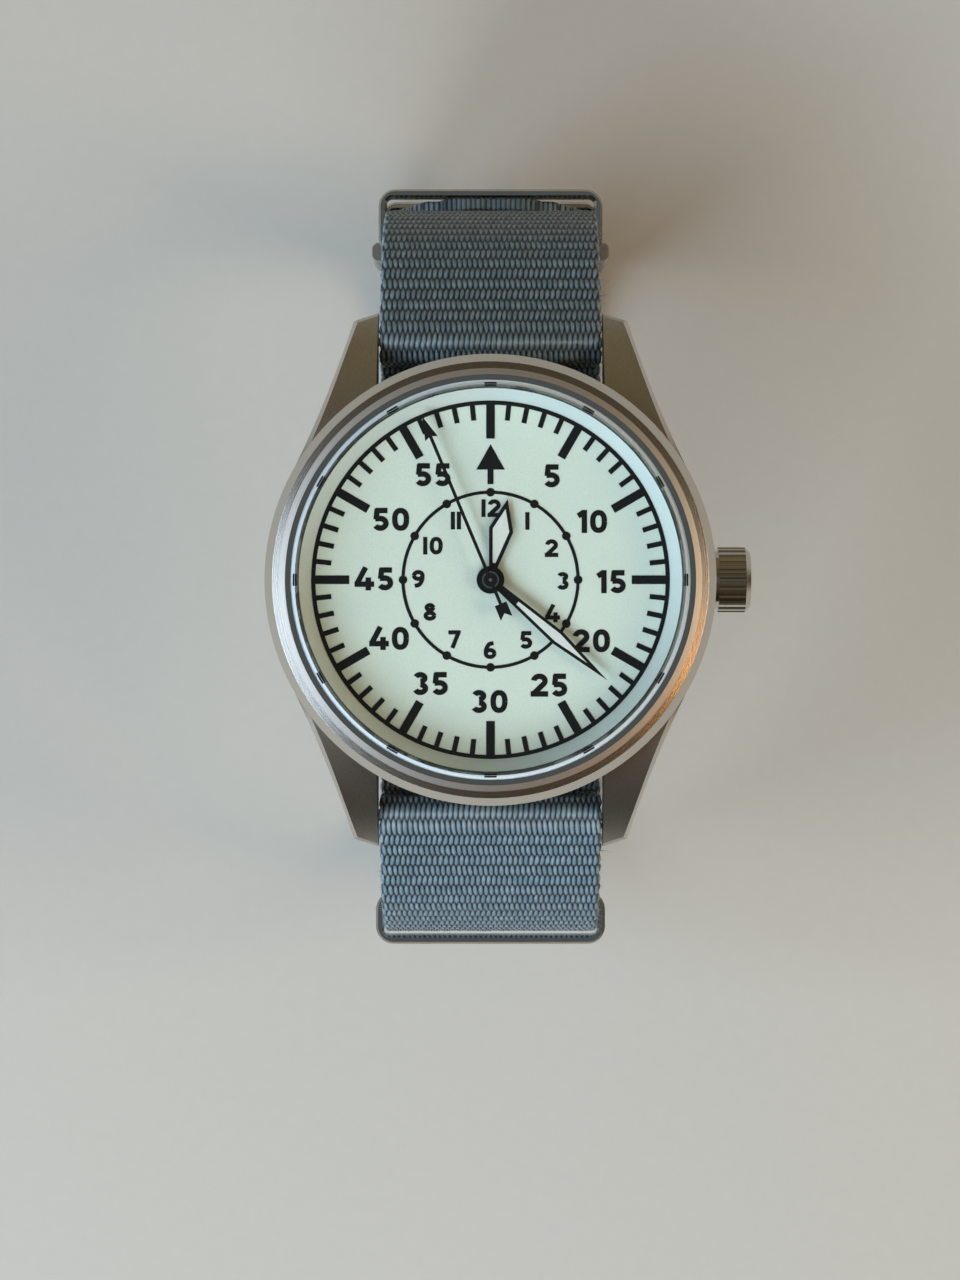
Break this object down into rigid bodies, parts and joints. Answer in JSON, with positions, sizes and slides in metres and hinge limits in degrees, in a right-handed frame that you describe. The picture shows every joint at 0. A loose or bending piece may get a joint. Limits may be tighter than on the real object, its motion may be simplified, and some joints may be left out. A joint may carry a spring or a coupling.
{
  "type": "pilot wristwatch",
  "caption": "Round pilot wristwatch with three hands and a pale dial, on a pull-through ribbed webbing strap buckled into a loop, with its movement inside.",
  "frame": {"origin": "on the surface that the strap loop rests on, straight below the dial's centre", "axes": "+Z out of the crystal, +Y to twelve o'clock, +X to three o'clock and the crown"},
  "size_m": [0.0433, 0.0734, 0.0592],
  "materials": {
    "steel_brushed": "brushed steel with polished bevels",
    "steel_polished": "polished steel",
    "sapphire": "clear flat crystal with a bevelled edge",
    "gasket_rubber": "black seal",
    "dial_lume": "pale mint grained lume coat",
    "print_black": "satin black",
    "hand_lume": "white lume fill",
    "movement_plate": "grained nickel-plated brass",
    "movement_steel": "hardened steel",
    "wheel_brass": "gilt brass",
    "ruby": "synthetic ruby",
    "strap_nylon": "slate blue-grey ribbed nylon webbing"
  },
  "bodies": {
    "watch": {"mid_case": "steel_brushed", "case_back": "steel_brushed", "bezel": "steel_polished", "crown_tube": "steel_polished", "flange_ring": "steel_polished", "spring_bars": "steel_polished", "flap_ring": "steel_polished", "keeper_ring_fixed": "steel_polished", "crystal": "sapphire", "crystal_gasket": "gasket_rubber", "case_back_gasket": "gasket_rubber", "dial": "dial_lume", "minute_track": "print_black", "hour_circle": "print_black", "main_plate": "movement_plate", "barrel_bridge": "movement_plate", "train_bridge": "movement_plate", "balance_cock": "movement_plate", "pallet_bridge": "movement_plate", "movement_ring": "movement_plate", "bridge_screws": "movement_steel", "rotor_axle": "movement_steel", "rotor_balls": "movement_steel", "hairspring": "movement_steel", "jewels": "ruby", "strap_main": "strap_nylon", "strap_flap": "strap_nylon"},
    "minute": {"center_wheel": "wheel_brass", "cannon_pinion": "movement_steel", "minute_hand": "print_black", "minute_hand_lume": "hand_lume"},
    "hour": {"hour_wheel": "wheel_brass", "hour_hand": "print_black", "hour_hand_lume": "hand_lume"},
    "seconds": {"fourth_wheel": "wheel_brass", "seconds_hand": "print_black"},
    "motion_wheel": {"minute_wheel": "movement_steel"},
    "third": {"third_wheel": "wheel_brass"},
    "escape": {"escape_wheel": "movement_steel"},
    "pallets": {"pallet_fork": "movement_steel"},
    "balance": {"balance_wheel": "wheel_brass"},
    "barrel": {"barrel_drum": "wheel_brass", "mainspring": "movement_steel"},
    "ratchet": {"barrel_arbor": "movement_steel", "ratchet_wheel": "movement_steel"},
    "crown_gear": {"crown_wheel": "movement_steel"},
    "winding_rotor": {"rotor": "wheel_brass"},
    "winding": {"winding_pinion": "movement_steel", "clutch_wheel": "movement_steel"},
    "crown_stem": {"crown": "steel_polished", "winding_stem": "movement_steel", "crown_gasket": "gasket_rubber"},
    "pin_twelve_crown_side": {"spring_bar_pin_twelve_crown_side": "steel_polished"},
    "pin_twelve_far_side": {"spring_bar_pin_twelve_far_side": "steel_polished"},
    "pin_six_crown_side": {"spring_bar_pin_six_crown_side": "steel_polished"},
    "pin_six_far_side": {"spring_bar_pin_six_far_side": "steel_polished"},
    "buckle": {"buckle_frame": "steel_brushed", "buckle_bar": "steel_polished"},
    "tongue": {"buckle_tongue": "steel_polished"},
    "sliding_ring": {"keeper_ring_sliding": "steel_polished"}
  },
  "joints": [
    {"name": "seconds_turn", "type": "hinge", "parent": "watch", "child": "seconds", "pos_m": [0, 0, 0.0517], "axis": [0, 0, -1], "continuous": true},
    {"name": "minute_turn", "type": "hinge", "parent": "watch", "child": "minute", "pos_m": [0, 0, 0.0517], "axis": [0, 0, -1], "continuous": true},
    {"name": "hour_turn", "type": "hinge", "parent": "watch", "child": "hour", "pos_m": [0, 0, 0.0517], "axis": [0, 0, -1], "continuous": true},
    {"name": "motion_wheel_turn", "type": "hinge", "parent": "watch", "child": "motion_wheel", "pos_m": [-0.00339, -0.00123, 0.0517], "axis": [0, 0, -1], "continuous": true},
    {"name": "third_turn", "type": "hinge", "parent": "watch", "child": "third", "pos_m": [0.00233, -0.00404, 0.0517], "axis": [0, 0, -1], "continuous": true},
    {"name": "escape_turn", "type": "hinge", "parent": "watch", "child": "escape", "pos_m": [-0.00382, -0.0022, 0.0517], "axis": [0, 0, -1], "continuous": true},
    {"name": "barrel_turn", "type": "hinge", "parent": "watch", "child": "barrel", "pos_m": [-0.00052, 0.00594, 0.0517], "axis": [0, 0, -1], "continuous": true},
    {"name": "pallet_rock", "type": "hinge", "parent": "watch", "child": "pallets", "pos_m": [-0.00424, -0.00457, 0.0531], "axis": [0, 0, 1], "range_deg": [-5, 5]},
    {"name": "balance_swing", "type": "hinge", "parent": "watch", "child": "balance", "pos_m": [-0.00343, -0.00756, 0.05235], "axis": [0, 0, 1], "range_deg": [-270, 270]},
    {"name": "ratchet_turn", "type": "hinge", "parent": "watch", "child": "ratchet", "pos_m": [-0.00052, 0.00594, 0.0517], "axis": [0, 0, 1], "continuous": true},
    {"name": "crown_gear_turn", "type": "hinge", "parent": "watch", "child": "crown_gear", "pos_m": [0.00599, 0.00242, 0.0517], "axis": [0, 0, 1], "continuous": true},
    {"name": "crown_turn", "type": "hinge", "parent": "watch", "child": "winding", "pos_m": [0.00735, 0, 0.0527], "axis": [1, 0, 0], "continuous": true},
    {"name": "crown_pull", "type": "slide", "parent": "winding", "child": "crown_stem", "axis": [1, 0, 0], "range_m": [0, 0.0009]},
    {"name": "rotor_turn", "type": "hinge", "parent": "watch", "child": "winding_rotor", "pos_m": [0, 0, 0.0517], "axis": [0, 0, 1], "continuous": true},
    {"name": "pin_twelve_crown_side_press", "type": "slide", "parent": "watch", "child": "pin_twelve_crown_side", "axis": [-1, 0, 0], "range_m": [0, 0.0008], "stiffness_N_per_m": 500, "springref_m": -0.001},
    {"name": "pin_twelve_far_side_press", "type": "slide", "parent": "watch", "child": "pin_twelve_far_side", "axis": [1, 0, 0], "range_m": [0, 0.0008], "stiffness_N_per_m": 500, "springref_m": -0.001},
    {"name": "pin_six_crown_side_press", "type": "slide", "parent": "watch", "child": "pin_six_crown_side", "axis": [-1, 0, 0], "range_m": [0, 0.0008], "stiffness_N_per_m": 500, "springref_m": -0.001},
    {"name": "pin_six_far_side_press", "type": "slide", "parent": "watch", "child": "pin_six_far_side", "axis": [1, 0, 0], "range_m": [0, 0.0008], "stiffness_N_per_m": 500, "springref_m": -0.001},
    {"name": "buckle_swing", "type": "hinge", "parent": "watch", "child": "buckle", "pos_m": [0, 0.03358, 0.012], "axis": [1, 0, 0], "range_deg": [0, 5]},
    {"name": "tongue_swing", "type": "hinge", "parent": "buckle", "child": "tongue", "pos_m": [0, 0.03358, 0.012], "axis": [1, 0, 0], "range_deg": [0, 5]},
    {"name": "ring_slide", "type": "slide", "parent": "watch", "child": "sliding_ring", "axis": [0, 0, 1], "range_m": [-0.004, 0.004]}
  ],
  "couplings": [
    {"joint": "minute_turn", "follows": "seconds_turn", "ratio": 0.016667},
    {"joint": "hour_turn", "follows": "seconds_turn", "ratio": 0.0013889},
    {"joint": "motion_wheel_turn", "follows": "seconds_turn", "ratio": -0.0055556},
    {"joint": "third_turn", "follows": "seconds_turn", "ratio": -0.13333},
    {"joint": "escape_turn", "follows": "seconds_turn", "ratio": -10},
    {"joint": "barrel_turn", "follows": "seconds_turn", "ratio": -0.0020833},
    {"joint": "crown_gear_turn", "follows": "ratchet_turn", "ratio": -1.1667},
    {"joint": "crown_turn", "follows": "ratchet_turn", "ratio": -4}
  ]
}
